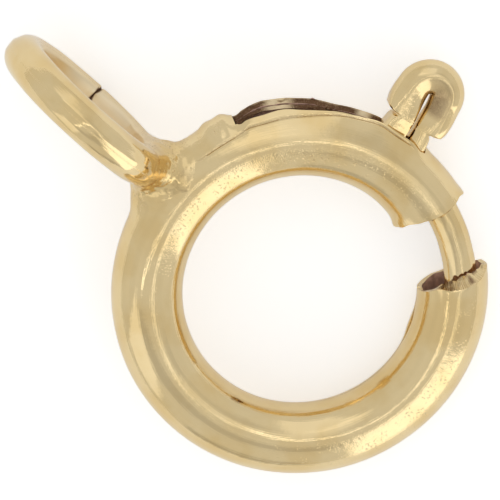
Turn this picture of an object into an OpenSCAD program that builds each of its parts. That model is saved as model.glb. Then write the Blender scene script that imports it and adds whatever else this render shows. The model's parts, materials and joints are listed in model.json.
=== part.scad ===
// Spring ring clasp: a ring of thin tube with an opening, a curved wire bolt that a coil spring holds
// across the opening, a hairpin thumb trigger on the bolt, and an eyelet soldered to the ring.
// Millimetres. The clasp lies as it rests by itself, on the far side of its ring and the low side of
// its eyelet. Directions round the ring are degrees anticlockwise from +X, and the eyelet is at 180.

/* [Ring] */
// Outside diameter of the tube ring
ring_od = 9; // [8:0.1:12]
// Outside diameter of the tube
tube_d = 1.7; // [1.6:0.05:2.1]
// Wall of the tube
tube_wall = 0.12; // [0.08:0.01:0.16]

/* [Opening] */
// Direction of the middle of the opening
opening_at = 58.4; // [50:0.1:66]
// Width of the opening along the middle of the tube
opening_w = 1.75; // [1.3:0.05:2]
// Turn of the cut where the bolt comes out, away from square
bolt_mouth_skew = -5.3; // [-12:0.1:12]
// Turn of the cut where the bolt goes in, away from square
catch_mouth_skew = 14.5; // [0:0.1:18]

/* [Bolt] */
// Diameter of the bolt's wire
bolt_d = 0.78; // [0.6:0.02:0.84]
// Distance of the bolt's middle outside the tube's middle
bolt_offset = 0.19; // [0:0.01:0.22]
// Length of the bolt beyond the catch mouth, without its round nose
bolt_entry = 0.4; // [0.2:0.05:0.8]
// Angle that the bolt turns back when the clasp is opened
bolt_travel = 46; // [42:1:50]

/* [Trigger] */
// Direction of the trigger with the clasp shut
trigger_at = 97.25; // [94:0.25:102]
// Height of the trigger above the tube
trigger_h = 1.98; // [1.7:0.02:2.4]
// Radius of the hairpin bend, to the middle of the wire
hairpin_r = 0.47; // [0.43:0.01:0.55]
// Width of each pressed leg below the shoulders
leg_w = 0.58; // [0.45:0.01:0.62]
// Slit between the two legs
leg_slit = 0.06; // [0.04:0.01:0.1]
// Height of the shoulders above the tube
shoulder_h = 0.4; // [0.25:0.05:0.6]

/* [Slot] */
// Room for the legs on each side of the slot
slot_side_room = 0.11; // [0.05:0.01:0.15]
// Room between the legs and each end of the slot
slot_end_room = 0.04; // [0.02:0.01:0.1]
// Thickness of the lips turned up round the slot
lip_t = 0.14; // [0.1:0.01:0.18]
// Height of those lips above the tube's outer line
lip_h = 0.04; // [0.02:0.01:0.12]

/* [Eyelet] */
// Outside diameter of the eyelet
eyelet_od = 4.86; // [3.8:0.02:5.4]
// Diameter of the eyelet's hole
eyelet_hole_d = 3.24; // [2.4:0.02:3.5]
// Width of the eyelet's wire along the hole
eyelet_w = 0.97; // [0.9:0.01:1.2]
// Depth that the eyelet sits in the solder, inside the tube's outer line
eyelet_sink = 0.107; // [0.05:0.001:0.12]
// Turn of the eyelet about its own stem, as it was soldered
eyelet_yaw = -1.5; // [-4:0.5:4]
// Width of the cut where the ends of the eyelet's wire meet
eyelet_cut_w = 0.06; // [0.03:0.01:0.12]
// Direction of that cut seen from the eyelet's middle, from the clasp's underside towards the ring
eyelet_cut_at = 12; // [0:1:40]
// Radius of the bead of solder under the eyelet
solder_r = 0.62; // [0.56:0.02:0.7]
// Height of that bead above the tube's outer line
solder_h = 0.4; // [0.3:0.02:0.5]
// Radius of the hollow where the solder runs out along the tube
solder_hollow_r = 0.56; // [0.4:0.02:0.7]

/* [Spring] */
// Diameter of the spring's wire
spring_wire_d = 0.16; // [0.12:0.01:0.18]
// Turns of the spring
spring_turns = 24; // [18:1:26]
// Room between the spring and the bore of the tube
spring_room = 0.11; // [0.08:0.01:0.16]
// Angle that the spring fills with the clasp shut
spring_fill = 135; // [128:1:142]
// Thickness of the web in the tube that the spring stands on
stop_t = 0.3; // [0.2:0.05:0.5]

/* [Rest] */
// Roll towards the trigger, whose weight tips the clasp as it lies
lie_roll = 2.75; // [0:0.25:4]

/* [Hidden] */
gold = [0.85, 0.74, 0.52];
spring_metal = [0.55, 0.42, 0.30];
bore_fn = 96;
ring_fn = 180;
// Small length by which pieces of one solid reach into each other
join = 0.05;

tube_r = tube_d / 2;
ring_r = ring_od / 2 - tube_r;
bore_r = tube_r - tube_wall;
bolt_r = bolt_d / 2;
bolt_path_r = ring_r + bolt_offset;

// Opening: the direction of each mouth on the tube's middle line, and of its cut
half_opening = opening_w / ring_r * 90 / PI;
bolt_mouth_at = opening_at + half_opening;
catch_mouth_at = opening_at - half_opening;
nose_at = catch_mouth_at - bolt_entry / bolt_path_r * 180 / PI;
nose_len = bolt_r * 0.6;
nose_r = bolt_r * 0.65;

// Trigger, in its own frame: X along the tube towards the opening, Y outwards from the ring's middle
leg_x = leg_slit / 2 + leg_w / 2;
leg_out = leg_slit / 2 + leg_w;
shoulder_y = ring_od / 2 + shoulder_h;
hairpin_y = ring_od / 2 + trigger_h - hairpin_r - bolt_r;
leg_foot_y = bolt_path_r - bolt_r;
wire_x = leg_slit / 2 + bolt_r;
hairpin_drop = hairpin_y - shoulder_y;
lean = atan2(hairpin_drop, wire_x) - acos(hairpin_r / norm([hairpin_drop, wire_x]));

// Slot: its edges in the bore's wall, and the angle from the trigger to each of its ends
slot_w = bolt_d + 2 * slot_side_room;
slot_edge_r = ring_r + sqrt(bore_r * bore_r - slot_w * slot_w / 4);
slot_end = asin((leg_out + slot_end_room) / slot_edge_r);

// Spring: its middle radius, and where it starts behind the trigger's leg and ends on the web
coil_r = bore_r - spring_room - spring_wire_d / 2;
end_room = 0.03;
spring_from = trigger_at + asin((leg_out + spring_wire_d / 2 + end_room) / leg_foot_y);
spring_to = spring_from + spring_fill;
stop_from = spring_to + (spring_wire_d / 2 + end_room) / (ring_r - coil_r) * 180 / PI;

// Eyelet: the round of its wire, and its place
wire_round_r = eyelet_w / 2;
wire_ring_r = eyelet_od / 2 - wire_round_r;
eyelet_x = ring_od / 2 + eyelet_od / 2 - eyelet_sink;

// Direction in the ring's own frame, turned as the clasp lies with its eyelet end up by tilt
function laid(v, tilt) =
    let (along = v.x * cos(tilt) + v.z * sin(tilt), up = v.z * cos(tilt) - v.x * sin(tilt))
    [along, v.y * cos(lie_roll) + up * sin(lie_roll), up * cos(lie_roll) - v.y * sin(lie_roll)];

// How far a ring of round wire reaches from its middle along one axis, from its own axis's share of it
function wire_reach(path_r, wire_r, share) = path_r * sqrt(1 - share * share) + wire_r;

// Lying on the surface: the tilt at which the ring's far side and the eyelet's low side both touch it
ring_axis = [0, 0, 1];
eyelet_axis = [-sin(eyelet_yaw), cos(eyelet_yaw), 0];
function ring_h(tilt) = wire_reach(ring_r, tube_r, laid(ring_axis, tilt).z);
function eyelet_h(tilt) = wire_reach(wire_ring_r, wire_round_r, laid(eyelet_axis, tilt).z);
function eyelet_lift(tilt) = ring_h(tilt) + laid([-eyelet_x, 0, 0], tilt).z - eyelet_h(tilt);
function settle(tilt, steps) =
    steps == 0 ? tilt : settle(tilt - eyelet_lift(tilt) / (ring_r + eyelet_x) * 180 / PI, steps - 1);
lie_tilt = settle(0, 8);

// The origin is on the surface, under the middle of the clasp's box
head_middle = laid([hairpin_y * cos(trigger_at), hairpin_y * sin(trigger_at), 0], lie_tilt);
ring_lies = laid(ring_axis, lie_tilt);
reach_x = [
    laid([-eyelet_x, 0, 0], lie_tilt).x - wire_reach(wire_ring_r, wire_round_r, laid(eyelet_axis, lie_tilt).x),
    wire_reach(ring_r, tube_r, ring_lies.x)
];
reach_y = [
    -wire_reach(ring_r, tube_r, ring_lies.y),
    head_middle.y + wire_reach(hairpin_r, bolt_r, ring_lies.y)
];
centre = [-(reach_x[0] + reach_x[1]) / 2, -(reach_y[0] + reach_y[1]) / 2, ring_h(lie_tilt)];

// From the ring's own frame to the clasp lying on the surface
module lay() {
    translate(centre) rotate([-lie_roll, 0, 0]) rotate([0, lie_tilt, 0]) children();
}

function on_ring(r, at) = [r * cos(at), r * sin(at)];

// Full turn of a round section along the ring
module round_ring(path_r, r) {
    rotate_extrude($fn = ring_fn) translate([path_r, 0]) circle(r, $fn = bore_fn);
}

// Part of a turn of a round section, between two directions
module round_arc(path_r, r, from, to) {
    rotate([0, 0, from])
        rotate_extrude(angle = to - from, $fn = ring_fn)
            translate([path_r, 0]) circle(r, $fn = bore_fn);
}

// Wedge that opens the ring between the two skewed cuts
module opening_cut() {
    reach = tube_d;
    bolt_side = on_ring(ring_r, bolt_mouth_at);
    catch_side = on_ring(ring_r, catch_mouth_at);
    along_bolt_cut = on_ring(reach, bolt_mouth_at + bolt_mouth_skew);
    along_catch_cut = on_ring(reach, catch_mouth_at + catch_mouth_skew);
    linear_extrude(2 * tube_d, center = true)
        polygon([
            catch_side - along_catch_cut, catch_side + along_catch_cut,
            bolt_side + along_bolt_cut, bolt_side - along_bolt_cut
        ]);
}

// Slot in the outer wall, as long as the trigger's travel
module slot_cut() {
    rotate([0, 0, trigger_at - slot_end])
        rotate_extrude(angle = bolt_travel + 2 * slot_end, $fn = ring_fn)
            translate([ring_r, -slot_w / 2]) square([tube_d, slot_w]);
}

// Lips turned up round the slot, where the tube was pierced from inside
module slot_lips() {
    ends = slot_end + lip_t / ring_r * 180 / PI;
    rotate([0, 0, trigger_at - ends])
        rotate_extrude(angle = bolt_travel + 2 * ends, $fn = ring_fn)
            translate([ring_r, -slot_w / 2 - lip_t]) square([tube_r + lip_h, slot_w + 2 * lip_t]);
}

// Ring of half-round wire, standing across the tube, with a cut where its ends meet
module eyelet() {
    translate([-eyelet_x, 0, 0]) rotate([0, 0, eyelet_yaw]) difference() {
        rotate([90, 0, 0]) rotate_extrude($fn = bore_fn) intersection() {
            translate([wire_ring_r, 0]) circle(wire_round_r, $fn = bore_fn);
            translate([eyelet_hole_d / 2, -eyelet_w]) square([eyelet_od, 2 * eyelet_w]);
        }
        rotate([0, -eyelet_cut_at, 0])
            translate([-eyelet_cut_w / 2, -eyelet_w, -eyelet_od])
                cube([eyelet_cut_w, 2 * eyelet_w, eyelet_od]);
    }
}

// Solder that joins the eyelet to the tube: a bead, and a saddle that runs out hollow along the tube
module solder() {
    saddle_z = tube_r * 0.45;
    hollow_y = eyelet_w / 2 - join + solder_hollow_r;
    hollow_x = ring_od / 2 + solder_hollow_r * 0.45;
    difference() {
        union() {
            translate([solder_r - ring_od / 2 - solder_h, 0, 0]) rotate([90, 0, 0])
                sphere(solder_r, $fn = bore_fn);
            linear_extrude(2 * saddle_z, center = true) difference() {
                translate([-hollow_x, -hollow_y]) square([hollow_x - ring_r, 2 * hollow_y]);
                for (side = [-1, 1])
                    translate([-hollow_x, side * hollow_y]) circle(solder_hollow_r, $fn = bore_fn);
            }
        }
        translate([-eyelet_x, 0, 0]) rotate([90, 0, eyelet_yaw])
            cylinder(h = 4 * eyelet_w, r = eyelet_hole_d / 2, center = true, $fn = bore_fn);
    }
}

// Tube ring, eyelet and solder are one soldered piece
module case() {
    color(gold) lay() {
        difference() {
            union() {
                round_ring(ring_r, tube_r);
                slot_lips();
                eyelet();
                solder();
            }
            round_ring(ring_r, bore_r);
            opening_cut();
            slot_cut();
        }
        round_arc(ring_r, bore_r + tube_wall / 2, stop_from, stop_from + stop_t / ring_r * 180 / PI);
    }
}

// One pressed leg of the trigger, from y_from out to the shoulders
module leg(side, y_from) {
    translate([side * leg_x, y_from, 0]) rotate([-90, 0, 0])
        linear_extrude(shoulder_y - y_from + join) intersection() {
            circle(bolt_r, $fn = bore_fn);
            square([leg_w, bolt_d], center = true);
        }
}

// Head of the hairpin: the bend, and the two wires that close towards the shoulders
module hairpin() {
    wire_len = 2 * hairpin_drop;
    intersection() {
        translate([0, hairpin_y, 0]) union() {
            round_arc(hairpin_r, bolt_r, -lean, 180 + lean);
            for (side = [-1, 1])
                translate([side * hairpin_r * cos(lean), -hairpin_r * sin(lean), 0])
                    rotate([90, 0, -side * lean])
                        cylinder(h = wire_len, r = bolt_r, $fn = bore_fn);
        }
        translate([-tube_d, shoulder_y, -tube_d]) cube([2 * tube_d, 2 * trigger_h, 2 * tube_d]);
    }
}

// Wire of the bolt, from its blunt nose in the catch mouth to its elbow under the trigger
module bolt_wire() {
    difference() {
        round_arc(bolt_path_r, bolt_r, nose_at, trigger_at);
        rotate([0, 0, trigger_at - 90])
            translate([leg_slit / 2 - 2 * tube_d, 0, -tube_d])
                cube([2 * tube_d, ring_od, 2 * tube_d]);
    }
    rotate([0, 0, nose_at]) translate([bolt_path_r, 0, 0]) rotate([90, 0, 0])
        cylinder(h = nose_len, r1 = bolt_r, r2 = nose_r, $fn = bore_fn);
}

// Bolt and trigger are one bent wire
module bolt() {
    color(gold) lay() {
        bolt_wire();
        rotate([0, 0, trigger_at - 90]) {
            leg(1, bolt_path_r);
            leg(-1, leg_foot_y);
            hairpin();
        }
    }
}

// Point on the spring's wire: t runs from 0 to 1 along the spring, about and out give the wire's own round
function coil_point(t, about) =
    let (at = spring_from + t * spring_fill)
    let (turn = t * spring_turns * 360)
    let (r = coil_r + spring_wire_d / 2 * cos(about))
    let (slide = spring_wire_d / 2 * sin(about))
    let (flat = ring_r + r * cos(turn))
    [
        flat * cos(at) - slide * sin(at),
        flat * sin(at) + slide * cos(at),
        r * sin(turn)
    ];

// Coil spring bent along the bore
module spring() {
    steps = spring_turns * 12;
    sides = 6;
    points = [for (i = [0:steps]) for (s = [0:sides - 1]) coil_point(i / steps, s * 360 / sides)];
    skin = [
        for (i = [0:steps - 1]) for (s = [0:sides - 1])
            let (a = i * sides, n = (s + 1) % sides)
            [a + s, a + sides + s, a + sides + n, a + n]
    ];
    first_end = [for (s = [0:sides - 1]) s];
    last_end = [for (s = [sides - 1:-1:0]) steps * sides + s];
    color(spring_metal) lay() polyhedron(points, concat([first_end], skin, [last_end]));
}

case();
bolt();
spring();
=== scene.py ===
import json
from math import cos, pi, radians, sin, tan

import bmesh
import bpy
import numpy as np
from mathutils import Matrix, Vector


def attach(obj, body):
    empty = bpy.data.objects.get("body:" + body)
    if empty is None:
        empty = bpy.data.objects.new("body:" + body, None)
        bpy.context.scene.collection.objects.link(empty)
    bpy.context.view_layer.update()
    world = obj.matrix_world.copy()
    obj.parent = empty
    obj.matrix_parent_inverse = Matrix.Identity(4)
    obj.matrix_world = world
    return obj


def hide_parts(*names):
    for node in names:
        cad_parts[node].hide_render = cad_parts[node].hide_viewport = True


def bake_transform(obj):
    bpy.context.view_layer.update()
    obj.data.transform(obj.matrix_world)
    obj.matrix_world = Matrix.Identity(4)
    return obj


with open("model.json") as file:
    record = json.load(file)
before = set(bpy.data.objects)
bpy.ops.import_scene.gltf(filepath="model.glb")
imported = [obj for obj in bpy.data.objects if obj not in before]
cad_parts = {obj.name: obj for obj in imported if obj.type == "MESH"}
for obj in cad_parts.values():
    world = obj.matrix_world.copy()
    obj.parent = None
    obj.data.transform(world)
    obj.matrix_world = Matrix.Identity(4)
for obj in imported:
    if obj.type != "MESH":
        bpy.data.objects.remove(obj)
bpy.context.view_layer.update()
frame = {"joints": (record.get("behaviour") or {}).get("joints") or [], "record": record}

# The clasp lies on the table on the far side of its ring and the low side of its eyelet. It is drawn in
# millimetres in the ring's own frame: Z is the axis that the bolt slides about, and directions round
# the ring are degrees from +X, with the eyelet at 180.
slide = frame["joints"][0]
eyelet_hole = next(m for m in frame["record"]["mounts"] if m["name"] == "eyelet_hole")
ring_middle = Vector(slide["pos_m"])
ring_axis = Vector(slide["axis"]).normalized()
from_eyelet = (ring_middle - Vector(eyelet_hole["pos_m"])).normalized()
ring_turned = Matrix((from_eyelet, ring_axis.cross(from_eyelet), ring_axis)).transposed()
mm = 0.001
in_place = Matrix.Translation(ring_middle) @ ring_turned.to_4x4() @ Matrix.Scale(mm, 4)

# The camera looks down through a long lens. In the photograph the ring leans back a little and to one
# side, and is turned so that its eyelet points to the upper left of the frame.
frame_px = 500
ring_middle_px = Vector((299.9, 289.1))
px = 0.023731 * mm
ring_turn, lean_back, lean_side = 39.75, 14.15, 6.53
camera_away = 260 * mm

camera_turned = (
    ring_turned
    @ Matrix.Rotation(radians(ring_turn), 3, "Z")
    @ Matrix.Rotation(radians(-lean_back), 3, "X")
    @ Matrix.Rotation(radians(-lean_side), 3, "Y")
)
off_middle = ring_middle_px - Vector((frame_px / 2, frame_px / 2))
aim = ring_middle + camera_turned @ Vector((-off_middle.x * px, off_middle.y * px, 0))
lens = bpy.data.cameras.new("camera")
lens.lens = lens.sensor_width * camera_away / (frame_px * px)
lens.clip_start, lens.clip_end = 0.01, 10
camera = bpy.data.objects.new("camera", lens)
camera.matrix_world = Matrix.Translation(aim + camera_turned.col[2] * camera_away) @ camera_turned.to_4x4()
bpy.context.scene.collection.objects.link(camera)
bpy.context.scene.camera = camera

# The studio: a white table, exposed to near white, under a pale grey room that the polished gold
# mirrors. Soft boxes hang to the right and in front. Narrow lamps, a flag and paler and darker parts of
# the ceiling show in the gold as bands along the tube.
bpy.context.scene.view_settings.view_transform = "Standard"
table_half = 1.5
table_white, table_paler = (0.86, 0.86, 0.86, 1), (0.9, 0.9, 0.9, 1)
table_glow, table_glow_in_gold = (0.44, 0.44, 0.44, 1), (0.17, 0.17, 0.17, 1)
room_radiance = 0.69
# direction round, height above the table, spin, angle filled across and up, narrowing, edge, radiance
SOFT_LIGHTS = {
    "key_box": (-10, 24, 0, 30, 76, 0.85, 0.02, 0.75),
    "front_box": (-98, 32, 0, 24, 46, 0, 0.03, 0.28),
    "near_tube_lamp": (7, 62.5, 0, 15, 5, 0, 0.015, 0.4),
    "far_tube_lamp": (46, 65.5, 0, 15, 3.2, 0, 0.015, 0.3),
    "strip_lamp": (-10, 84, 80, 2.6, 44, 0, 0.008, 1.0),
    "pale_ceiling": (92, 69, 0, 60, 15, 0, 0.04, 0.15),
    "pale_wall": (122, 44, 0, 30, 40, 0, 0.07, 0.2),
    "dark_flag": (-52, 60, 0, 42, 16, 0, 0.05, -0.14),
    "dark_doorway": (-58, 2, 0, 34, 22, 0, 0.05, -0.18),
    "dark_corner": (56, 50, 0, 40, 14, 0, 0.07, -0.09),
}


class Finish:
    """A socket among the nodes of a finish, so that shading maths is written as plain expressions."""

    def __init__(self, tree, socket=None):
        self.tree = tree
        self.socket = socket

    def node(self, kind, settings=None, inputs=None, output=0):
        """Adds a node of a kind. Its settings are set first, and its inputs are values or links."""
        made = self.tree.nodes.new(kind)
        for name, value in (settings or {}).items():
            setattr(made, name, value)
        for name, value in (inputs or {}).items():
            if isinstance(value, Finish):
                self.tree.links.new(value.socket, made.inputs[name])
            else:
                made.inputs[name].default_value = value
        return Finish(self.tree, made.outputs[output] if made.outputs else None)

    def maths(self, operation, *values):
        return self.node("ShaderNodeMath", {"operation": operation}, dict(enumerate(values)))

    def blend(self, share, colour_a, colour_b):
        return self.node("ShaderNodeMix", {"data_type": "RGBA"}, {0: share, 6: colour_a, 7: colour_b}, 2)

    def over(self, low, high):
        """A smooth step from 0 to 1 between two values, or down from 1 where low is above high."""
        ends = (low, high, 0, 1) if low < high else (high, low, 1, 0)
        return self.node(
            "ShaderNodeMapRange", {"interpolation_type": "SMOOTHSTEP"}, dict(enumerate((self,) + ends))
        )

    def __add__(self, other):
        return self.maths("ADD", self, other)

    def __sub__(self, other):
        return self.maths("SUBTRACT", self, other)

    def __rsub__(self, other):
        return self.maths("SUBTRACT", other, self)

    def __mul__(self, other):
        return self.maths("MULTIPLY", self, other)

    def __truediv__(self, other):
        return self.maths("DIVIDE", self, other)

    __radd__ = __add__
    __rmul__ = __mul__


world = bpy.data.worlds.new("studio_room")
world.use_nodes = True
world.node_tree.nodes.clear()
bpy.context.scene.world = world
room = Finish(world.node_tree)
towards = room.node("ShaderNodeTexCoord", output="Generated")
clouding = room.node("ShaderNodeTexNoise", inputs={"Vector": towards, "Scale": 2.2, "Detail": 1.0})
room_light = room_radiance * (0.92 + clouding * 0.16)


def facing(direction):
    """How much a direction of the room agrees with a fixed one."""
    return room.node(
        "ShaderNodeVectorMath", {"operation": "DOT_PRODUCT"}, {0: towards, 1: direction}, "Value"
    )


for turn, rise, spin, across, up, narrowing, edge, radiance in SOFT_LIGHTS.values():
    turned = (
        Matrix.Rotation(radians(turn), 3, "Z")
        @ Matrix.Rotation(radians(-rise), 3, "Y")
        @ Matrix.Rotation(radians(spin), 3, "X")
    )
    depth = facing(turned.col[0])
    in_front = depth.maths("MAXIMUM", depth, 0.05)
    side = facing(turned.col[1]) / in_front
    top = facing(turned.col[2]) / in_front
    half_across, half_up = tan(radians(across / 2)), tan(radians(up / 2))
    half_here = half_across * (1 - top * (narrowing / half_up))
    inside = (half_here - side.maths("ABSOLUTE", side)).over(-edge, edge)
    inside = inside * (half_up - top.maths("ABSOLUTE", top)).over(-edge, edge) * depth.over(0.05, 0.2)
    room_light = room_light + inside * radiance
backdrop = room.node("ShaderNodeBackground", inputs={"Color": (1, 1, 1, 1), "Strength": room_light})
room.node("ShaderNodeOutputWorld", inputs={"Surface": backdrop})

table_mesh = bpy.data.meshes.new("table")
corners = [(x * table_half, y * table_half, 0) for x, y in ((-1, -1), (1, -1), (1, 1), (-1, 1))]
table_mesh.from_pydata(corners, [], [(0, 1, 2, 3)])
table = bpy.data.objects.new("table", table_mesh)
bpy.context.scene.collection.objects.link(table)


def bare_material(name):
    """A material without nodes, and the start of its finish."""
    made = bpy.data.materials.new(name)
    made.use_nodes = True
    made.node_tree.nodes.clear()
    return made, Finish(made.node_tree)


white_table, top = bare_material("white_table")
grain = top.node("ShaderNodeTexNoise", inputs={"Scale": 900.0, "Detail": 3.0})
seen = top.node("ShaderNodeLightPath", output="Is Camera Ray")
table_skin = top.node(
    "ShaderNodeBsdfPrincipled",
    inputs={
        "Base Color": top.blend(grain, table_white, table_paler),
        "Roughness": 0.6,
        "Emission Color": top.blend(seen, table_glow_in_gold, table_glow),
        "Emission Strength": 1.0,
    },
)
top.node("ShaderNodeOutputMaterial", inputs={"Surface": table_skin})
table_mesh.materials.append(white_table)

# Tube ring: a strip of thin gold sheet rolled into a tube round the bolt's path, its two edges meeting
# along the inside of the ring. It is sawn through for the opening, and pierced from inside for the
# trigger's slot, which turned the slot's lips up.
tube_path_r, tube_r, tube_wall = 3.65, 0.85, 0.12
bolt_mouth_at, bolt_mouth_skew = 72.14, -5.3
catch_mouth_at, catch_mouth_skew = 44.66, 14.5
skew_reach, fine_rows = 10, 3.5
slot_from, slot_to, slot_half_w = 90.1, 152.19, 0.5
slot_half = np.degrees(np.arcsin(slot_half_w / tube_r))
lip_half = 64
slot_end_narrows, slot_end_reach = 0.22, 1.1
seam_half_gap, seam_gapes_at_catch, seam_gapes_at_bolt = 0.4, 3.2, 2.4
# direction, rise of the slot's lips there, share of the near lip's rise that the far lip has
LIP_RISES = np.array([
    (87, 0.0, 1.0),
    (90.1, 0.03, 1.0),
    (95, 0.12, 0.6),
    (105, 0.2, 0.6),
    (116, 0.17, 0.9),
    (126, 0.16, 1.0),
    (134, 0.17, 1.25),
    (142, 0.17, 1.4),
    (149, 0.12, 1.4),
    (152.2, 0.03, 1.2),
    (154.5, 0.0, 1.0),
])
# direction, direction across the tube, reach along, reach across, height of each lump or dent
LUMPS = np.array([
    (155.2, 4, 2.6, 30, 0.2),
    (159.6, 2, 3.0, 28, 0.15),
    (157.6, 32, 1.3, 9, 0.03),
    (154.6, 30, 1.0, 8, 0.02),
    (160.4, 26, 1.1, 9, -0.02),
    (167.0, 5, 8.0, 34, 0.13),
    (79.0, 168, 13, 30, 0.05),
    (72.0, 172, 6, 22, 0.1),
    (382.0, -172, 7, 12, 0.05),
    (72.0, 12, 2.0, 26, 0.03),
    (296.0, 60, 7, 20, -0.012),
])
# direction and direction across the tube of the groove at the foot of the near lip
LIP_GROOVE = np.array([
    (93, 40), (108, 38.5), (114, 38.5), (126, 41), (136.5, 45.5), (150, 46), (158, 50), (167, 52.5), (174, 38)
])
groove_depth, groove_half, groove_starts = 0.03, 1.6, 4
# the far lip's torn face: columns of its grid, how deep it hangs, how far in and how much crumpled
torn_columns, torn_deep, torn_in, torn_crumple = 6, 0.24, 0.08, 0.024
# direction and half width of the two places where bright metal shows on the torn face
TORN_BRIGHT = np.array([(137.5, 4.5), (110.5, 2.5)])
# direction, direction across the tube, reach along, reach across and strength of each pitted patch
PITTED = np.array([
    (128, 102, 38, 17, 1.0),
    (352, 62, 34, 26, 0.7),
    (190, 108, 24, 16, 0.5),
    (159, 14, 4, 30, 1.2),
])
# direction across the tube, degrees that the torn edge stands proud of the cut at the two mouths
BOLT_MOUTH_EDGE = np.array([
    (-180, -3.6), (-150, -2.8), (-120, -1.4), (-60, -0.9), (-12, -0.8), (12, -0.9), (30, -1.3), (48, -0.3),
    (75, 0.0), (100, 0.0), (125, -1.0), (150, -0.6), (166, -1.8), (180, -2.4),
])
CATCH_MOUTH_EDGE = np.array([
    (-180, 0.3), (-120, 0.6), (-60, 0.2), (-10, 0.6), (12, 0.4), (30, -0.8), (52, -2.3), (79, -2.9),
    (98, -2.0), (114, -0.5), (135, 0.2), (150, -0.2), (180, 0.4),
])
# direction across the tube, how far the inside of the wall is dragged out as a burr
BOLT_MOUTH_BURR = np.array([(-20, 0), (30, 0.06), (60, 0.085), (95, 0.085), (112, 0.05), (130, 0)])
CATCH_MOUTH_BURR = np.array([
    (0, 0), (20, 0.06), (38, 0.12), (54, 0.2), (70, 0.25), (92, 0.24), (106, 0.14), (125, 0.06), (150, 0)
])


def stretch(*parts):
    """Values along (from, to, steps) stretches that follow each other."""
    return np.unique(np.concatenate([np.linspace(a, b, n + 1) for a, b, n in parts]).round(6))


def waver(seed, count, reach):
    """A smooth, irregular function of a point, about -1 to 1, from waves as long as reach."""
    draw = np.random.default_rng(seed)
    ways = draw.normal(size=(count, 3))
    ways *= 2 * pi / reach / np.linalg.norm(ways, axis=1)[:, None] * draw.uniform(0.6, 1.5, (count, 1))
    starts = draw.uniform(0, 2 * pi, count)
    return lambda points: np.sin(points @ ways.T + starts).sum(-1) / count**0.5


def on_tube(along, across, out):
    """Points at an angle along the ring, an angle across the tube and a distance from its middle line."""
    flat = tube_path_r + out * np.cos(np.radians(across))
    a = np.radians(along)
    return np.stack([flat * np.cos(a), flat * np.sin(a), out * np.sin(np.radians(across))], -1)


def cut_swing(flat, skew):
    """Degrees that a skewed cut leads its place on the tube's middle line by, nearer in or further out."""
    s, c = sin(radians(skew)), cos(radians(skew))
    along_cut = np.sqrt(flat**2 - (tube_path_r * s) ** 2) - tube_path_r * c
    return np.degrees(np.arctan2(along_cut * s, tube_path_r + along_cut * c))


def up_the_lips(across):
    """0 at the foot of the slot's lips, 1 at their edge."""
    return np.clip((lip_half - np.abs(across)) / (lip_half - slot_half), 0, 1)


def around_ring(at, r):
    """Points in the ring's plane, at an angle along the ring and a distance from its middle."""
    a = np.radians(at)
    return np.stack([r * np.cos(a), r * np.sin(a), 0 * a], -1)


def soft_patches(patches, at_along, at_across):
    """The sum of soft round patches on the tube, each with a place, a reach both ways and a strength."""
    return sum(
        strength
        * np.exp(-(((at_along - at) / reach_along) ** 2))
        * np.exp(-(((at_across - side) / reach_across) ** 2))
        for at, side, reach_along, reach_across, strength in patches
    )


def new_mesh(name, points, faces):
    """An object with a smooth mesh of its own."""
    mesh = bpy.data.meshes.new(name)
    mesh.from_pydata(points.reshape(-1, 3), [], faces)
    mesh.shade_smooth()
    piece = bpy.data.objects.new(name, mesh)
    bpy.context.scene.collection.objects.link(piece)
    return piece


def grid_faces(rows, columns, closed=False, kept=None):
    """Quads between the points of a grid, one row after another."""
    last = columns if closed else columns - 1
    i, j = np.meshgrid(np.arange(rows - 1), np.arange(last), indexing="ij")
    n = (j + 1) % columns
    quads = np.stack([i * columns + j, (i + 1) * columns + j, (i + 1) * columns + n, i * columns + n], -1)
    return quads[kept] if kept is not None else quads.reshape(-1, 4)


def capped_faces(rows, columns, clockwise=False):
    """Faces of a solid laid as rows of closed rings, with one face over each end, that face out of it
    when each ring runs anticlockwise about the way that the rows follow each other."""
    ends = [range(columns), range(rows * columns - 1, (rows - 1) * columns - 1, -1)]
    faces = [list(face) for face in [*grid_faces(rows, columns, closed=True), *ends]]
    return faces if clockwise else [face[::-1] for face in faces]


def keep_marks(piece, **marks):
    """Keeps numbers on the points of a piece for its finish to read."""
    for name, values in marks.items():
        kept = piece.data.attributes.new(name, "FLOAT", "POINT")
        kept.data.foreach_set("value", np.ascontiguousarray(values, np.float32).ravel())


def apply_modifiers(piece):
    """Puts what the modifiers of a piece make into its mesh."""
    worked = bpy.data.meshes.new_from_object(piece.evaluated_get(bpy.context.evaluated_depsgraph_get()))
    piece.modifiers.clear()
    piece.data = worked


def lay(piece, body, slot, *finishes):
    """Puts a piece that was drawn in the ring's frame where the clasp lies, with its finishes."""
    piece.data.transform(in_place)
    piece.data.set_sharp_from_angle(angle=radians(42))
    for finish in finishes:
        piece.data.materials.append(finish)
    if body:
        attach(piece, body)


gold_pale, gold_deep, gold_sawn = (0.87, 0.69, 0.385, 1), (0.81, 0.605, 0.29, 1), (0.62, 0.43, 0.2, 1)
bore_brown, bore_dark = (0.72, 0.47, 0.38, 1), (0.46, 0.28, 0.22, 1)
# a dark brown for grime; it also paints shade on the trigger's legs beside the slit
grime_and_shade_brown, dull_gold = (0.20, 0.11, 0.06, 1), (0.92, 0.79, 0.58, 1)


def where_in_mm(finish):
    """A point's own place on its piece, in millimetres."""
    where = finish.node("ShaderNodeTexCoord", output="Object")
    return finish.node("ShaderNodeVectorMath", {"operation": "SCALE"}, {0: where, "Scale": 1 / mm})


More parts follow.
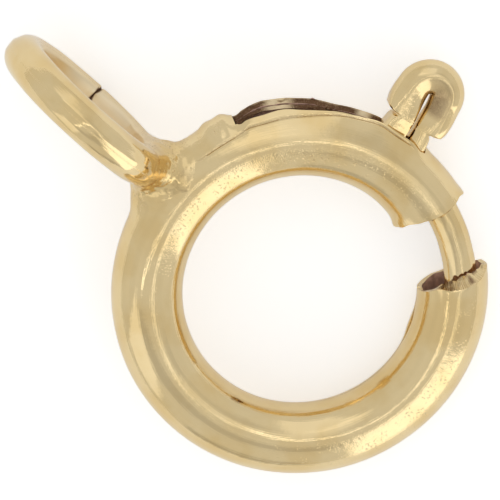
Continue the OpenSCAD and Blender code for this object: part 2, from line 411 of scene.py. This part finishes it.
def gold_finish(name, colour, deep, roughness, pit_depth, line_depth):
    """Polished gold: cloudy colour, drawing lines along the metal, orange peel, and pits where marked."""
    made, gold = bare_material(name)
    where = where_in_mm(gold)
    along, across, pitted, grimy, dull = (
        gold.node("ShaderNodeAttribute", {"attribute_name": mark}, output="Fac")
        for mark in ("along", "across", "pitted", "grimy", "dull")
    )
    drawn = gold.node("ShaderNodeCombineXYZ", inputs={0: along * 0.25, 1: across * 9, 2: 0.0})
    cloud = gold.node("ShaderNodeTexNoise", inputs={"Vector": where, "Scale": 0.9, "Detail": 3.0})
    peel = gold.node("ShaderNodeTexNoise", inputs={"Vector": where, "Scale": 5.0, "Detail": 2.0})
    grit = gold.node("ShaderNodeTexNoise", inputs={"Vector": where, "Scale": 34.0, "Detail": 2.0})
    lines = gold.node("ShaderNodeTexNoise", inputs={"Vector": drawn, "Scale": 3.0, "Detail": 3.0})
    swarm = gold.node("ShaderNodeTexNoise", inputs={"Vector": where, "Scale": 2.6, "Detail": 1.0})
    scattered = gold.node("ShaderNodeTexNoise", inputs={"Vector": where, "Scale": 18.0, "Detail": 2.0})
    pits = scattered.over(0.59, 0.7) * swarm.over(0.42, 0.58) * (0.02 + pitted)
    height = peel * 0.3 + lines * line_depth + grit * (0.03 + pitted * 0.3) - pits * pit_depth
    bump = gold.node("ShaderNodeBump", inputs={"Strength": 0.6, "Distance": 0.014 * mm, "Height": height})
    # Pits and marked places turn brown: grime, and painted shade beside the trigger's slit.
    dirt_and_shade = pits.maths("MINIMUM", pits * 0.2 + grimy * (0.4 + grit), 1.0)
    shade = gold.blend(cloud.over(0.35, 0.7), colour, deep)
    shade = gold.blend(dull * 0.55, shade, dull_gold)
    shade = gold.blend(dirt_and_shade, shade, grime_and_shade_brown)
    rough = roughness + cloud * 0.03 + pitted * 0.04 + dirt_and_shade * 0.3 + dull * 0.3
    skin = gold.node(
        "ShaderNodeBsdfPrincipled",
        inputs={"Base Color": shade, "Metallic": 1.0, "Roughness": rough, "Normal": bump},
    )
    gold.node("ShaderNodeOutputMaterial", inputs={"Surface": skin})
    return made


def bore_finish(name, colour, dark):
    """Dull metal that polishing never reached: a rough film with darker blotches."""
    made, film = bare_material(name)
    where = where_in_mm(film)
    blotch = film.node("ShaderNodeTexNoise", inputs={"Vector": where, "Scale": 4.0, "Detail": 5.0})
    grit = film.node("ShaderNodeTexNoise", inputs={"Vector": where, "Scale": 30.0, "Detail": 3.0})
    bump = film.node(
        "ShaderNodeBump", inputs={"Strength": 0.6, "Distance": 0.02 * mm, "Height": blotch + grit * 0.6}
    )
    shade = film.blend(blotch.over(0.4, 0.65), colour, dark)
    skin = film.node(
        "ShaderNodeBsdfPrincipled",
        inputs={"Base Color": shade, "Metallic": 0.1, "Roughness": 0.5 + grit * 0.25, "Normal": bump},
    )
    film.node("ShaderNodeOutputMaterial", inputs={"Surface": skin})
    return made


polished = gold_finish("polished_gold", gold_pale, gold_deep, 0.035, 1.3, 0.3)
brown_bore = bore_finish("brown_bore", bore_brown, bore_dark)
sawn_edge = gold_finish("sawn_edge", gold_pale, gold_sawn, 0.1, 1.0, 1.5)

# The sheet's outer face is a grid along the ring and across the tube, seam to seam.
catch_end = 360 + catch_mouth_at
along = stretch(
    (bolt_mouth_at, bolt_mouth_at + fine_rows, 14),
    (bolt_mouth_at + fine_rows, slot_from, 22),
    (slot_from, slot_to, 100),
    (slot_to, 162, 24),
    (162, 199, 66),
    (199, catch_end - fine_rows, 150),
    (catch_end - fine_rows, catch_end, 14),
)
across = stretch(
    (-180, -lip_half, 22), (-lip_half, -slot_half, 8), (-slot_half, slot_half, 16),
    (slot_half, 56, 22), (56, lip_half, 3), (lip_half, 180, 22),
)
from_bolt_mouth = np.clip(1 - (along - along[0]) / skew_reach, 0, 1)[:, None] ** 1.5
from_catch_mouth = np.clip(1 - (along[-1] - along) / skew_reach, 0, 1)[:, None] ** 1.5
seam_open = (
    seam_half_gap + seam_gapes_at_catch * from_catch_mouth**2 + seam_gapes_at_bolt * from_bolt_mouth**2
)
sheet_across = across[None, :] * (1 - seam_open / 180)
# The slot's ends are rounded, and its lips close in on the trigger's leg there.
from_slot_end = np.minimum(np.abs(along - slot_from), np.abs(along - slot_to))[:, None]
closing = slot_end_narrows * np.exp(-((from_slot_end / slot_end_reach) ** 2))
sheet_across = sheet_across * (1 - closing * up_the_lips(across))
flat = tube_path_r + tube_r * np.cos(np.radians(sheet_across))
ragged = waver(11, 9, 0.5)(on_tube(0 * sheet_across, sheet_across, tube_r))
bolt_edge = np.interp(sheet_across, BOLT_MOUTH_EDGE[:, 0], BOLT_MOUTH_EDGE[:, 1])
catch_edge = np.interp(sheet_across, CATCH_MOUTH_EDGE[:, 0], CATCH_MOUTH_EDGE[:, 1])
sheet_along = (
    along[:, None]
    + from_bolt_mouth * cut_swing(flat, bolt_mouth_skew)
    + from_catch_mouth * cut_swing(flat, catch_mouth_skew)
    - from_bolt_mouth**1.2 * (bolt_edge + 0.3 * ragged)
    + from_catch_mouth**1.2 * (catch_edge + 0.3 * ragged)
)
place = on_tube(sheet_along, sheet_across, tube_r)
outward = on_tube(sheet_along, sheet_across, tube_r + 1) - place

# Lips of the slot, lumps and dents, and the faint waviness of hand polishing.
rise = np.interp(along, LIP_RISES[:, 0], LIP_RISES[:, 1], 0, 0)[:, None]
far_share = np.interp(along, LIP_RISES[:, 0], LIP_RISES[:, 2])[:, None]
rise = rise * np.where(sheet_across < 0, far_share, 1)
crumple = waver(21, 10, 0.9)(place)
rise = rise * up_the_lips(sheet_across) ** 1.4 * (1 + 0.12 * crumple)
flat_out = around_ring(sheet_along, 1.0)
raised = soft_patches(LUMPS, along[:, None], sheet_across)
rolled = np.stack([sheet_along * 0.02, sheet_across * 0.0148 + 0 * sheet_along, 0 * sheet_along], -1)
raised = raised * (1 + 0.05 * waver(31, 12, 0.4)(place)) + 0.003 * waver(41, 14, 2.4)(place)
raised = raised + 0.0016 * waver(43, 12, 0.8)(rolled)
from_groove = sheet_across - np.interp(along, LIP_GROOVE[:, 0], LIP_GROOVE[:, 1])[:, None]
from_groove_end = np.minimum(along - LIP_GROOVE[0, 0], LIP_GROOVE[-1, 0] - along)[:, None]
grooved = np.clip(from_groove_end / groove_starts, 0, 1)
raised = raised - groove_depth * grooved * np.exp(-((from_groove / groove_half) ** 2))
torn = waver(47, 14, 0.22)(place)
raised = raised + torn * (0.005 * from_catch_mouth**5 + 0.003 * from_bolt_mouth**5)
place = place + flat_out * rise[..., None] + outward * raised[..., None]

# The far lip's edge is torn, and its face hangs down into the slot.
lip_column = np.argmin(np.abs(across + slot_half))
hangs = np.arange(1, torn_columns + 1) / torn_columns
lip_edge, down = place[:, lip_column, None], -flat_out[:, lip_column, None]
hung = lip_edge + hangs[:, None] * (torn_deep * down + torn_in * np.array([0, 0, 1]))
crumpled = np.sin(hangs * pi)[:, None] * waver(71, 16, 0.26)(hung)[..., None]
hung = hung + crumpled * (torn_crumple * (down + np.array([0, 0, 1])))
along_slot = (along > slot_from) & (along < slot_to)
place[along_slot, lip_column + 1:lip_column + 1 + torn_columns] = hung[along_slot]

middle_along = (along[:-1] + along[1:]) / 2
middle_across = (across[:-1] + across[1:]) / 2
hanging = (np.arange(len(middle_across)) - lip_column) < torn_columns
in_slot = ((middle_along > slot_from) & (middle_along < slot_to))[:, None] & (
    (np.abs(middle_across) < slot_half) & ~hanging
)
tube = new_mesh("tube_ring", place, grid_faces(len(along), len(across), kept=~in_slot))

# The torn face is brown, but for the places where bright metal shows.
past_lip = np.arange(len(across)) - lip_column
by_slot = ((along > slot_from - 1) & (along < slot_to + 1))[:, None]
torn_face = by_slot & (past_lip >= 0) & (past_lip <= torn_columns)
bright = sum(np.exp(-(((along - at) / half) ** 4)) for at, half in TORN_BRIGHT)
browned = torn_face * (1.15 - bright)[:, None] * np.where(past_lip == 0, 0.5, 1)
keep_marks(
    tube,
    along=np.radians(sheet_along) * tube_path_r,
    across=np.radians(sheet_across) * tube_r,
    pitted=np.clip(soft_patches(PITTED, along[:, None], sheet_across), 0, 1.2),
    # darker along the groove at the foot of the near lip, and brown on the torn face
    grimy=0.5 * np.exp(-((from_groove / 1.2) ** 2)) * grooved + browned,
    dull=0.8 * torn_face,
)
loose = bmesh.new()
loose.from_mesh(tube.data)
bmesh.ops.delete(loose, geom=[v for v in loose.verts if not v.link_faces], context="VERTS")
loose.to_mesh(tube.data)
loose.free()
inside_finish, cut_finish = 1, 2
wall = tube.modifiers.new("wall", "SOLIDIFY")
wall.thickness = tube_wall
wall.offset = -1
wall.use_even_offset = False
wall.material_offset, wall.material_offset_rim = inside_finish, cut_finish
for finish in (polished, brown_bore, sawn_edge):
    tube.data.materials.append(finish)
apply_modifiers(tube)

# Sawing dragged a burr out of both mouths, on the inside of the wall, and bent it in towards the bolt.
burr_closes, burr_reach = 1.1, 0.35
rims = bmesh.new()
rims.from_mesh(tube.data)
across_wall = [e for e in rims.edges if sum(f.material_index == cut_finish for f in e.link_faces) > 1]
bmesh.ops.subdivide_edges(rims, edges=across_wall, cuts=3, use_grid_fill=True)
spots = np.array([v.co[:] for v in rims.verts])
flat = np.hypot(spots[:, 0], spots[:, 1])
spot_along = np.degrees(np.arctan2(spots[:, 1], spots[:, 0]))
spot_across = np.degrees(np.arctan2(spots[:, 2], flat - tube_path_r))
inside_wall = np.clip((tube_r - np.hypot(flat - tube_path_r, spots[:, 2])) / tube_wall, 0, 1)
round_wall = np.radians(spot_across) * tube_r
torn_layers = waver(97, 18, 0.3)(np.stack([round_wall, inside_wall * 0.45, 0 * flat], -1))
fissured = np.zeros(len(spots))
for mouth_at, skew, edge, burr, way in (
    (bolt_mouth_at, bolt_mouth_skew, BOLT_MOUTH_EDGE, BOLT_MOUTH_BURR, -1),
    (catch_mouth_at, catch_mouth_skew, CATCH_MOUTH_EDGE, CATCH_MOUTH_BURR, 1),
):
    edge_at = mouth_at + cut_swing(flat, skew) + way * np.interp(spot_across, edge[:, 0], edge[:, 1])
    behind = np.radians(((edge_at - spot_along) * way + 180) % 360 - 180) * flat
    near_mouth = np.clip(1 - np.abs(behind) / burr_reach, 0, 1) ** 2
    dragged = np.interp(spot_across, burr[:, 0], burr[:, 1]) * near_mouth * inside_wall**1.3
    dragged = dragged * (1 + 0.16 * waver(83, 14, 0.2)(spots) + 0.16 * torn_layers)
    spot_along = spot_along + np.degrees(way * dragged / flat)
    closed = 1 - burr_closes * dragged
    flat = tube_path_r + (flat - tube_path_r) * closed
    height = spots[:, 2] * closed
    spots = around_ring(spot_along, flat)
    spots[:, 2] = height
    fissured = fissured + np.clip(torn_layers - 0.1, 0, 1) * (np.abs(dragged) > 0.015) * inside_wall**0.3
for vertex, spot in zip(rims.verts, spots):
    vertex.co = spot
rims.to_mesh(tube.data)
rims.free()
grimy = np.zeros(len(spots), np.float32)
tube.data.attributes["grimy"].data.foreach_get("value", grimy)
tube.data.attributes["grimy"].data.foreach_set("value", (grimy + 1.3 * fissured).astype(np.float32))
lay(tube, "case", "gold_tube")
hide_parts("case")

# Eyelet: half-round gold wire bent to a ring, its flatter face inwards, its ends butted at the
# underside. It stands across the tube, so that a chain hangs in line with the clasp.
eyelet_far = (ring_middle - Vector(eyelet_hole["pos_m"])).length / mm
hole_r = eyelet_hole["dims"]["r_mm"]
eyelet_wire_r, eyelet_path_r, eyelet_yaw = 0.485, 1.945, -1.5
face_r, ridge_at, ridge_flat, ridge_half = 1.9, 12, 0.958, 16
butt_at, butt_gap, butt_skew = -78, 0.025, 9
worn_deep, butt_ragged = 0.045, 0.011
# turn and side of each dent, its reach along and round the wire, its depth
DENTS = np.array([(106, 10, 5, 20, 0.012), (66, 34, 9, 12, 0.008), (140, -10, 7, 18, 0.006)])


def soft_least(a, b, crisp):
    """The lesser of two distances, with a rounded change between them."""
    return (a**-crisp + b**-crisp) ** (-1 / crisp)


section = stretch((0, 120, 24), (120, 145, 8), (145, 215, 10), (215, 240, 8), (240, 360, 24))[:-1]
round_eyelet = butt_at + stretch((0, 3, 8), (3, 30, 11), (30, 126, 70), (126, 357, 93), (357, 360, 8))
half_gap = np.degrees(butt_gap / 2 / eyelet_path_r)
round_eyelet = butt_at + half_gap + (round_eyelet - butt_at) * (1 - 2 * half_gap / 360)
turn = np.radians(round_eyelet)[:, None]
about = np.radians(section)[None, :]
face_far = face_r - (eyelet_path_r - hole_r)
face_out = face_far * np.cos(about) + np.sqrt((face_far * np.cos(about)) ** 2 + face_r**2 - face_far**2)
wire_out = soft_least(eyelet_wire_r, face_out, 34)
for side in (-1, 1):
    towards_flat = np.maximum(np.cos(about - radians(ridge_at + side * ridge_half)), 0.05)
    wire_out = soft_least(wire_out, ridge_flat * eyelet_wire_r / towards_flat, 60)
wire_out = wire_out - worn_deep * np.clip(-np.cos(turn), 0, 1) ** 2 * np.clip(np.cos(about), 0, 1)
for dent_at, dent_side, wide, tall, deep in DENTS:
    from_dent_side = (np.degrees(about) - dent_side + 180) % 360 - 180
    from_dent = ((np.degrees(turn) - dent_at) / wide) ** 2 + (from_dent_side / tall) ** 2
    wire_out = wire_out - deep * np.exp(-from_dent)
from_end = np.minimum(round_eyelet - round_eyelet[0], round_eyelet[-1] - round_eyelet)[:, None]
nicked = 0.1 + 0.07 * np.sin(3 * about + 1) * np.sin(1.7 * about) + 0.05 * np.sin(7 * about)
wire_out = wire_out * (1 - nicked * np.exp(-(from_end**1.5)))
near_butt = np.clip(1 - from_end / 25, 0, 1)


def on_eyelet(out):
    """Points of the eyelet in the ring's frame, at a distance from the middle of its wire."""
    far = eyelet_path_r + out * np.cos(about)
    swung = turn + near_butt * tan(radians(butt_skew)) * out * np.cos(about) / eyelet_path_r
    swung = swung + butt_ragged * near_butt**14 * np.sin(4.1 * about + 1) * (0.6 + np.sin(2.7 * about))
    q = np.stack([far * np.cos(swung), out * np.sin(about) * (1 + 0 * turn), far * np.sin(swung)], -1)
    a = radians(eyelet_yaw)
    x, y = q[..., 0] * cos(a) - q[..., 1] * sin(a), q[..., 0] * sin(a) + q[..., 1] * cos(a)
    return np.stack([x - eyelet_far, y, q[..., 2]], -1)


place = on_eyelet(wire_out)
outward = on_eyelet(wire_out + 1) - place
place = place + outward * ((0.004 + 0.03 * near_butt**14) * waver(51, 12, 1.1)(place))[..., None]
place = place + outward * (0.02 * near_butt**14 * waver(53, 14, 0.22)(place))[..., None]
eyelet = new_mesh("eyelet", place, capped_faces(*place.shape[:2]))
keep_marks(
    eyelet,
    along=turn * eyelet_path_r + 0 * about,
    across=about * eyelet_wire_r + 0 * turn,
    pitted=np.clip(np.cos(turn) - 0.6, 0, 1) * 1.2 + 0 * about,
    grimy=1.6 * np.exp(-((from_end / (0.45 + 0.9 * np.sin(4.3 * about + 2) ** 2)) ** 2)),
    dull=np.clip(2.3 - np.abs(np.degrees(about) - 180) / 45, 0, 1) * np.where(turn > pi, 1.0, 1.2),
)
lay(eyelet, "case", "gold_tube", polished)
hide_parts("case")

# Solder: it holds the eyelet on the tube in a bead and a fillet, wide towards the slot and narrow on
# the other side, with lumps and pits where it froze. Its skin is found along rays from inside the joint.
fillet_wide, fillet_narrow, bead_fillet = 0.85, 0.42, 0.3
joint_middle, joint_half = np.array([-4.62, 0.04, 0.0]), 1.45
rays_round, rays_up = 240, 120
thin_solder, dip_under = 0.014, 0.035
solder_rough, solder_grain = waver(5, 14, 0.5), waver(6, 18, 0.18)
# direction, distance from the ring's middle and size of each bead
BEADS = np.array([(180, 4.28, 0.62), (188.4, 4.34, 0.37)])


def soft_join(a, b, reach):
    """Two distances from metal joined by a fillet."""
    near = np.maximum(reach - np.abs(a - b), 0) / reach
    return np.minimum(a, b) - near**2 * reach / 4


def tube_skin(p):
    """Distance of points from the tube's outer face, with its lumps."""
    from_path = np.hypot(p[..., 0], p[..., 1]) - tube_path_r
    p_along = np.degrees(np.arctan2(p[..., 1], p[..., 0])) % 360
    p_across = np.degrees(np.arctan2(p[..., 2], from_path))
    return np.hypot(from_path, p[..., 2]) - tube_r - soft_patches(LUMPS, p_along, p_across)


def eyelet_skin(p):
    """Distance of points from the eyelet's wire."""
    a = radians(-eyelet_yaw)
    x, y = p[..., 0] + eyelet_far, p[..., 1]
    along_hole = x * sin(a) + y * cos(a)
    from_middle = np.hypot(x * cos(a) - y * sin(a), p[..., 2])
    wire = np.hypot(from_middle - eyelet_path_r, along_hole) - eyelet_wire_r
    return np.maximum(wire, hole_r - from_middle)


def soldered_skin(p):
    """Distance outside the metal of tube, beads and eyelet joined by their fillet."""
    beaded = tube_skin(p)
    for at, far, size in BEADS:
        beaded = soft_join(beaded, np.linalg.norm(p - around_ring(at, far), axis=-1) - size, bead_fillet)
    eye = eyelet_skin(p)
    side = np.clip(p[..., 1] / 0.5 + 0.5, 0, 1)
    reach = fillet_narrow + (fillet_wide - fillet_narrow) * side**2 * (3 - 2 * side)
    near = np.clip(1 - np.maximum(beaded, eye) / 0.8, 0, 1) ** 2
    return soft_join(beaded, eye, reach) - near * (0.022 * solder_rough(p) + 0.008 * solder_grain(p))


ray_turn = np.linspace(0, 2 * pi, rays_round, endpoint=False)[None, :]
ray_up = np.linspace(-0.497 * pi, 0.497 * pi, rays_up)[:, None]
rays = np.stack([
    np.cos(ray_up) * np.cos(ray_turn), np.cos(ray_up) * np.sin(ray_turn), np.sin(ray_up) + 0 * ray_turn
], -1)
far = np.linspace(0.02, joint_half, 90)
level = soldered_skin(joint_middle + rays[..., None, :] * far[:, None])
crossed = (level[..., :-1] <= 0) & (level[..., 1:] > 0)
first = crossed.argmax(-1)[..., None]
before, after = np.take_along_axis(level, first, -1), np.take_along_axis(level, first + 1, -1)
reached = far[first] - (far[1] - far[0]) * before / np.where(after == before, 1, after - before)
reached = np.where(crossed.any(-1), reached[..., 0], joint_half)
place = joint_middle + rays * reached[..., None]
# Where the solder thins out, it dips under the skin of the tube and of the eyelet.
stands_out = np.minimum(tube_skin(place), eyelet_skin(place))
reached = reached - dip_under * np.clip(1 - stands_out / thin_solder, 0, 2.5)
place = joint_middle + rays * np.maximum(reached, 0.1)[..., None]
solder = new_mesh("solder", place, capped_faces(rays_up, rays_round))
keep_marks(
    solder,
    along=ray_up * 0.8 + 0 * ray_turn,
    across=ray_turn * 0.8 + 0 * ray_up,
    pitted=0.5 + 0 * stands_out,
    grimy=0.1 * np.clip(solder_rough(place), 0, 1),
    dull=1.2 * np.clip((hole_r + 0.14 - np.hypot(place[..., 0] + eyelet_far, place[..., 2])) / 0.1, 0, 1),
)
lay(solder, "case", "gold_tube", polished)
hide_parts("case")

# Bolt: round gold wire drawn a little dull, bent to the ring's curve, with a blunt nose that enters the
# catch mouth. Inside the tube it turns out through the slot as the trigger's near leg.
bolt_r, bolt_path_r, nose_at, nose_len, nose_tip = 0.39, 3.84, 38.7, 0.234, 0.45
trigger_at = 97.25
wire_sides, slit_way = 32, 2.48
drawn_gold = gold_finish("drawn_gold", gold_pale, gold_deep, 0.05, 1.0, 0.4)


def swept(name, middles, sides, half_sides, half_ups, square, facet=1.0, facet_turn=0.0, dirt_and_shade=0.0):
    """Wire along a path in the ring's plane: its middle and side direction, half widths and squareness
    there. A facet is a flat on the section, at a distance from its middle and facing a way round it."""
    about = np.linspace(0, 2 * pi, wire_sides, endpoint=False)
    by_row = np.broadcast_arrays(half_sides, half_ups, square, facet, np.radians(facet_turn), dirt_and_shade)
    wide, tall, power, flat, turned, shade_by_row = (values[:, None] for values in by_row)
    out = (np.abs(np.cos(about) / wide) ** power + np.abs(np.sin(about) / tall) ** power) ** (-1 / power)
    towards_facet = np.maximum(np.cos(about - turned), 0.05)
    out = soft_least(out, flat / towards_facet, 22)
    points = middles[:, None] + (out * np.cos(about))[..., None] * sides[:, None]
    points[..., 2] += out * np.sin(about)
    length = np.concatenate([[0], np.cumsum(np.linalg.norm(np.diff(middles, axis=0), axis=1))])
    out_way = points - middles[:, None]
    out_way = out_way / np.linalg.norm(out_way, axis=-1)[..., None]
    points = points + out_way * (0.0025 * waver(61, 12, 0.8)(points))[..., None]
    piece = new_mesh(name, points, capped_faces(len(middles), wire_sides, clockwise=True))
    keep_marks(
        piece,
        along=length[:, None] + 0 * about,
        across=about * bolt_r + 0 * length[:, None],
        pitted=0.04 + 0 * points[..., 0],
        # painted shade: brown on the side of the wire that faces the slit between the trigger's legs
        grimy=1.3 * shade_by_row * np.clip(np.cos(about - slit_way) - 0.2, 0, 1),
    )
    return piece


nose_steps = np.linspace(0, 1, 9)
nose_swing = nose_len / bolt_path_r * 180 / pi
along_bolt = stretch((nose_at, trigger_at + 2, 90))
stations = np.concatenate([nose_at - nose_swing * (1 - nose_steps), along_bolt[1:]])
half_wide = np.full(len(stations), bolt_r)
half_wide[:len(nose_steps)] *= nose_tip + (1 - nose_tip) * np.sqrt(1 - (1 - nose_steps) ** 2)
path = around_ring(stations, bolt_path_r)
bolt_wire = swept("bolt_wire", path, around_ring(stations, 1.0), half_wide, half_wide, 2.0)
lay(bolt_wire, "bolt", "gold_wire", drawn_gold)
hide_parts("bolt")

# Trigger: the same wire bent back on itself in a hairpin, its legs pressed thinner where they pass
# through the slot. The press left a notch under each shoulder and a flat on the inside of the bend.
head_at, bend_middle, bend_r, bend_half_wide = 97.8, np.array([-0.02, 5.6]), 0.425, 0.415
foot_y, leg_half_up = 3.5, 0.385
# painted shade in the slit between the legs: where it starts up the near leg, how soon it is full, its most
slit_shade_from, slit_shade_starts, slit_shade_most = 5.15, 0.25, 0.7
# distance from the ring's middle, then across the trigger from its middle line the leg's side by the
# slit and its outer side, the section's squareness, how far out its flat lies and which way it faces
NEAR_LEG = np.array([
    (foot_y, 0.07, 0.645, 5, 0.35, 104),
    (4.45, 0.105, 0.6, 5, 0.349, 104),
    (4.62, 0.098, 0.57, 5, 0.345, 104),
    (4.72, 0.092, 0.54, 5, 0.34, 104),
    (4.765, 0.09, 0.5, 5, 0.335, 104),
    (4.8, 0.088, 0.5, 5, 0.335, 104),
    (4.83, 0.086, 0.68, 5, 0.356, 104),
    (4.865, 0.084, 0.78, 4.8, 0.368, 104),
    (4.95, 0.08, 0.82, 4.2, 0.372, 104),
    (5.09, 0.072, 0.852, 3.3, 0.365, 107),
    (5.3, 0.055, 0.852, 2.4, 0.345, 109),
    (5.45, 0.03, 0.84, 2.1, 0.33, 111),
    (bend_middle[1], 0.0, 0.82, 2.0, 0.32, 113),
])
FAR_LEG = np.array([
    (foot_y, 0.0, -0.6, 5, 0.362, 98),
    (4.45, 0.02, -0.6, 5, 0.362, 98),
    (4.68, 0.016, -0.575, 5, 0.36, 98),
    (4.76, 0.014, -0.545, 5, 0.36, 98),
    (4.81, 0.012, -0.48, 5, 0.36, 98),
    (4.84, 0.012, -0.49, 5, 0.36, 98),
    (4.87, 0.01, -0.69, 5, 0.374, 98),
    (4.92, 0.01, -0.765, 4.6, 0.379, 98),
    (5.1, 0.002, -0.828, 3.2, 0.38, 98),
    (5.3, -0.016, -0.862, 2.3, 0.38, 99),
    (5.45, -0.03, -0.868, 2.0, 0.378, 101),
    (bend_middle[1], -0.04, -0.86, 2.0, 0.376, 103),
])
leg_rows = np.concatenate([
    np.linspace(foot_y, 4.6, 8), np.linspace(4.62, 5.0, 34), np.linspace(5.03, bend_middle[1], 14)
])
near_leg, far_leg = (
    np.stack([np.interp(leg_rows, leg[:, 0], column) for column in leg.T], 1) for leg in (NEAR_LEG, FAR_LEG)
)
far_leg = far_leg[::-1]
legs_xy = [np.stack([(leg[:, 1] + leg[:, 2]) / 2, leg[:, 0]], 1) for leg in (near_leg, far_leg)]
bend = np.radians(np.linspace(0, 180, 61))[1:-1]
bend_out = np.stack([np.cos(bend), np.sin(bend)], 1)
middles_xy = np.concatenate([legs_xy[0], bend_middle + bend_r * bend_out, legs_xy[1]])
sides_xy = np.concatenate([
    np.tile([1.0, 0], (len(leg_rows), 1)), bend_out, np.tile([-1.0, 0], (len(leg_rows), 1))
])
half_wide = np.concatenate([
    (near_leg[:, 2] - near_leg[:, 1]) / 2,
    np.full(len(bend), bend_half_wide),
    (far_leg[:, 1] - far_leg[:, 2]) / 2,
])
over_bend = near_leg[-1] + (far_leg[0] - near_leg[-1]) * (1 - np.cos(bend))[:, None] / 2
squareness, facets, facet_turns = np.concatenate([near_leg, over_bend, far_leg])[:, 3:].T
# Painted shade beside the slit: it rises near the top of the near leg, fades over the bend and is none on the
# far leg.
slit_painted_shade = np.concatenate([
    np.clip((near_leg[:, 0] - slit_shade_from) / slit_shade_starts, 0, slit_shade_most),
    slit_shade_most * np.cos(bend / 2) ** 2,
    np.zeros(len(leg_rows)),
])
flat_to_ring = around_ring(np.array([head_at - 90, head_at]), 1.0)
trigger = swept(
    "thumb_trigger",
    middles_xy @ flat_to_ring, sides_xy @ flat_to_ring,
    half_wide, leg_half_up, squareness, facets, facet_turns, slit_painted_shade,
)
lay(trigger, "bolt", "gold_wire", drawn_gold)
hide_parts("bolt")

# Spring: hard bronze wire coiled to slide in the tube, between the trigger's far leg and a web in the
# tube. It pushes the bolt shut; on the real clasp it crowds up along the tube when the trigger is drawn
# back, but here it is drawn as one still coil.
coil_r, coil_wire_r, coil_turns, steps_a_turn, coil_sides = 0.54, 0.08, 24, 28, 10
coil_from, coil_to = 109.3, 244.3
bronze_dull, bronze_dark = (0.36, 0.22, 0.12, 1), (0.16, 0.09, 0.05, 1)
steps = coil_turns * steps_a_turn + 1
at = np.linspace(coil_from, coil_to, steps)[:, None]
turn = np.linspace(0, 360 * coil_turns, steps)[:, None]
about = np.linspace(0, 2 * pi, coil_sides, endpoint=False)[None, :]
r = coil_r + coil_wire_r * np.cos(about)
lead = np.degrees(coil_wire_r * np.sin(about) / tube_path_r)
place = on_tube(at + lead, turn, r)
spring = new_mesh("spring_coil", place, capped_faces(steps, coil_sides))
dull_bronze = bore_finish("spring_bronze", bronze_dull, bronze_dark)
lay(spring, None, "spring_wire", dull_bronze)
web_end = in_place @ Vector(around_ring(coil_to, tube_path_r))
leg_end = in_place @ Vector(around_ring(coil_from, tube_path_r))
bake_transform(spring)
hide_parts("spring")

# Spring stop: a small gold disc pressed into the tube and soldered to its wall. The spring stands on it.
stop_at, stop_half, stop_r, stop_dome, stop_edge = 246.322, 0.15, 0.78, 0.03, 0.05
round_disc = np.linspace(0, 360, 48, endpoint=False)
half_profile = np.array([
    (0.004, stop_half + stop_dome), (0.3, stop_half + 0.8 * stop_dome), (0.6, stop_half + 0.3 * stop_dome),
    (0.72, stop_half), (stop_r, stop_half - stop_edge),
])
profile = np.concatenate([half_profile, half_profile[::-1] * (1, -1)])
place = on_tube(stop_at, round_disc, profile[:, :1])
place = place + profile[:, 1, None, None] * around_ring(stop_at + 90, 1.0)
spring_stop = new_mesh("spring_stop", place, capped_faces(*place.shape[:2]))
lay(spring_stop, "case", "gold_tube", brown_bore)
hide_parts("case")
